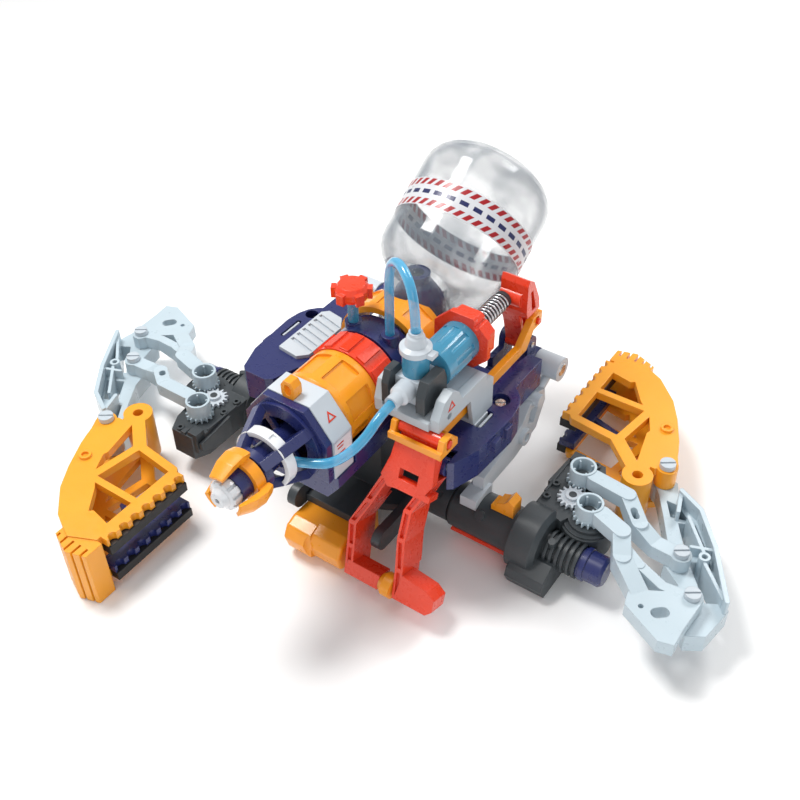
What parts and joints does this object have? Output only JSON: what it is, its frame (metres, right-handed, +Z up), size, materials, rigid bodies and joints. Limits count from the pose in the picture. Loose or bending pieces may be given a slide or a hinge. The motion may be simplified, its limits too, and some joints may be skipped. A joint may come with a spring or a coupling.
{
  "type": "hydraulic arm kit",
  "caption": "Hand-held water blaster body with a tilted clear tank, pump trigger and two hydraulic arms that swing toothed claws on geared parallel links.",
  "frame": {"origin": "on the ground plane under the middle of the overall box", "axes": "+X towards the right-hand arm, nozzle towards -Y, +Z up"},
  "size_m": [0.485, 0.3644, 0.2141],
  "materials": {
    "navy": "gloss moulded",
    "amber": "gloss moulded",
    "red": "gloss moulded",
    "light_grey": "satin moulded",
    "pale_blue_grey": "gloss moulded",
    "mid_grey": "satin moulded",
    "dark_grey": "fine matte moulded",
    "clear": "clear moulded plastic",
    "frosted": "translucent white plastic",
    "clear_blue": "clear blue plastic",
    "hose_blue": "soft clear blue hose",
    "black_rubber": "matte rubber",
    "white": "gloss moulded",
    "steel": "zinc plated",
    "silver": "silver metallised"
  },
  "bodies": {
    "body": {"body_shell": "navy", "body_base": "navy", "saddle_band": "light_grey", "fender": "amber", "nozzle_cage": "navy", "cage_hoop": "white", "nozzle_tip": "silver", "front_sight": "amber", "side_grille": "light_grey", "water_tank": "clear", "tank_intake": "navy", "tank_neck": "frosted", "pump_mount": "mid_grey", "clamp_pads": "dark_grey", "valve_tubes": "clear_blue", "valve_cap": "light_grey", "valve_cross": "light_grey", "pump_cylinder": "clear_blue", "pump_collar": "red", "return_spring": "steel", "hose_long": "hose_blue", "hose_loop": "hose_blue", "body_fasteners": "steel", "chassis": "dark_grey", "hand_grip": "amber", "side_arms": "light_grey", "tube_clips": "amber", "arm_tube_right": "dark_grey", "arm_tube_left": "dark_grey"},
    "drum": {"barrel_drum": "amber", "drum_ring": "red"},
    "petals": {"nozzle_petals": "amber"},
    "cap": {"filler_cap": "red"},
    "trigger": {"trigger_frame": "red"},
    "roller": {"trigger_roller": "amber"},
    "link": {"link_rod": "amber"},
    "lever": {"rear_lever": "red"},
    "pump_rod": {"pump_piston": "dark_grey"},
    "arm_right": {"gearbox_right": "dark_grey", "cylinder_cap_right": "navy"},
    "drive_right": {"drive_link_right": "pale_blue_grey"},
    "follower_right": {"follower_link_right": "pale_blue_grey"},
    "idler_right": {"idler_gear_right": "light_grey"},
    "elbow_right": {"elbow_truss_right": "pale_blue_grey", "arm_screws_right": "pale_blue_grey"},
    "claw_right": {"claw_frame_right": "amber", "claw_bar_right": "navy", "claw_pads_right": "black_rubber"},
    "rod_right": {"arm_piston_right": "dark_grey"},
    "arm_left": {"gearbox_left": "dark_grey", "cylinder_cap_left": "navy"},
    "drive_left": {"drive_link_left": "pale_blue_grey"},
    "follower_left": {"follower_link_left": "pale_blue_grey"},
    "idler_left": {"idler_gear_left": "light_grey"},
    "elbow_left": {"elbow_truss_left": "pale_blue_grey", "arm_screws_left": "pale_blue_grey"},
    "claw_left": {"claw_frame_left": "amber", "claw_bar_left": "navy", "claw_pads_left": "black_rubber"},
    "rod_left": {"arm_piston_left": "dark_grey"}
  },
  "joints": [
    {"name": "drum_twist", "type": "hinge", "parent": "body", "child": "drum", "pos_m": [0.00104, -0.03584, 0.118], "axis": [0, 1, 0], "range_deg": [-60, 60]},
    {"name": "nozzle_twist", "type": "hinge", "parent": "body", "child": "petals", "pos_m": [0.00104, -0.12384, 0.118], "axis": [0, 1, 0], "range_deg": [-60, 60]},
    {"name": "filler_cap_turn", "type": "hinge", "parent": "body", "child": "cap", "pos_m": [-0.01246, -0.00384, 0.164], "axis": [0, 0, 1], "range_deg": [0, 90]},
    {"name": "trigger_pull", "type": "hinge", "parent": "body", "child": "trigger", "pos_m": [0.06104, -0.03584, 0.094], "axis": [1, 0, 0], "range_deg": [0, 12], "stiffness_Nm_per_rad": 0.5, "springref_deg": -14.32},
    {"name": "roller_spin", "type": "hinge", "parent": "trigger", "child": "roller", "pos_m": [0.06104, -0.0763, 0.01791], "axis": [1, 0, 0], "continuous": true},
    {"name": "link_slide", "type": "slide", "parent": "body", "child": "link", "axis": [0, -1, 0], "range_m": [0, 0.0047]},
    {"name": "lever_pivot", "type": "hinge", "parent": "body", "child": "lever", "pos_m": [0.05404, 0.08416, 0.101], "axis": [1, 0, 0], "range_deg": [0, 12.2]},
    {"name": "pump_stroke", "type": "slide", "parent": "body", "child": "pump_rod", "axis": [0, -1, 0], "range_m": [0, 0.009], "deforming": ["return_spring"]},
    {"name": "right_arm_roll", "type": "hinge", "parent": "body", "child": "arm_right", "pos_m": [0.11604, 0.00216, 0.022], "axis": [1, 0, 0], "range_deg": [0, 80]},
    {"name": "right_arm_swing", "type": "hinge", "parent": "arm_right", "child": "drive_right", "pos_m": [0.14404, 0.02316, 0.04], "axis": [0, 0, 1], "range_deg": [-8, 16]},
    {"name": "right_follower_swing", "type": "hinge", "parent": "arm_right", "child": "follower_right", "pos_m": [0.12604, 0.04916, 0.04], "axis": [0, 0, 1], "range_deg": [-8.5, 16.5]},
    {"name": "right_idler_turn", "type": "hinge", "parent": "arm_right", "child": "idler_right", "pos_m": [0.1285, 0.03164, 0.04], "axis": [0, 0, 1], "range_deg": [-16.5, 8.5]},
    {"name": "right_elbow_turn", "type": "hinge", "parent": "drive_right", "child": "elbow_right", "pos_m": [0.22246, -0.00081, 0.033], "axis": [0, 0, 1], "range_deg": [-16.5, 8.5]},
    {"name": "right_claw_swing", "type": "hinge", "parent": "elbow_right", "child": "claw_right", "pos_m": [0.16845, 0.08519, 0.033], "axis": [0, 0, 1], "range_deg": [-8, 12]},
    {"name": "right_piston_slide", "type": "slide", "parent": "body", "child": "rod_right", "axis": [1, 0, 0], "range_m": [-0.0014, 0.0026]},
    {"name": "left_arm_roll", "type": "hinge", "parent": "body", "child": "arm_left", "pos_m": [-0.11396, 0.00616, 0.022], "axis": [-1, 0, 0], "range_deg": [0, 80]},
    {"name": "left_arm_swing", "type": "hinge", "parent": "arm_left", "child": "drive_left", "pos_m": [-0.14196, -0.01484, 0.04], "axis": [0, 0, 1], "range_deg": [-8, 16]},
    {"name": "left_follower_swing", "type": "hinge", "parent": "arm_left", "child": "follower_left", "pos_m": [-0.12396, -0.04084, 0.04], "axis": [0, 0, 1], "range_deg": [-8.5, 16.5]},
    {"name": "left_idler_turn", "type": "hinge", "parent": "arm_left", "child": "idler_left", "pos_m": [-0.12642, -0.02331, 0.04], "axis": [0, 0, 1], "range_deg": [-16.5, 8.5]},
    {"name": "left_elbow_turn", "type": "hinge", "parent": "drive_left", "child": "elbow_left", "pos_m": [-0.22246, 0.00081, 0.033], "axis": [0, 0, 1], "range_deg": [-16.5, 8.5]},
    {"name": "left_claw_swing", "type": "hinge", "parent": "elbow_left", "child": "claw_left", "pos_m": [-0.16845, -0.08519, 0.033], "axis": [0, 0, 1], "range_deg": [-8, 12]},
    {"name": "left_piston_slide", "type": "slide", "parent": "body", "child": "rod_left", "axis": [-1, 0, 0], "range_m": [-0.0014, 0.0026]}
  ],
  "couplings": [
    {"joint": "link_slide", "follows": "trigger_pull", "m_per_rad": 0.02154},
    {"joint": "lever_pivot", "follows": "trigger_pull", "ratio": 0.996},
    {"joint": "pump_stroke", "follows": "trigger_pull", "m_per_rad": 0.0412},
    {"joint": "right_follower_swing", "follows": "right_arm_swing", "ratio": 1},
    {"joint": "right_idler_turn", "follows": "right_arm_swing", "ratio": -1},
    {"joint": "right_elbow_turn", "follows": "right_arm_swing", "ratio": -1},
    {"joint": "right_piston_slide", "follows": "right_arm_swing", "m_per_rad": 0.00885},
    {"joint": "left_follower_swing", "follows": "left_arm_swing", "ratio": 1},
    {"joint": "left_idler_turn", "follows": "left_arm_swing", "ratio": -1},
    {"joint": "left_elbow_turn", "follows": "left_arm_swing", "ratio": -1},
    {"joint": "left_piston_slide", "follows": "left_arm_swing", "m_per_rad": 0.00885}
  ]
}
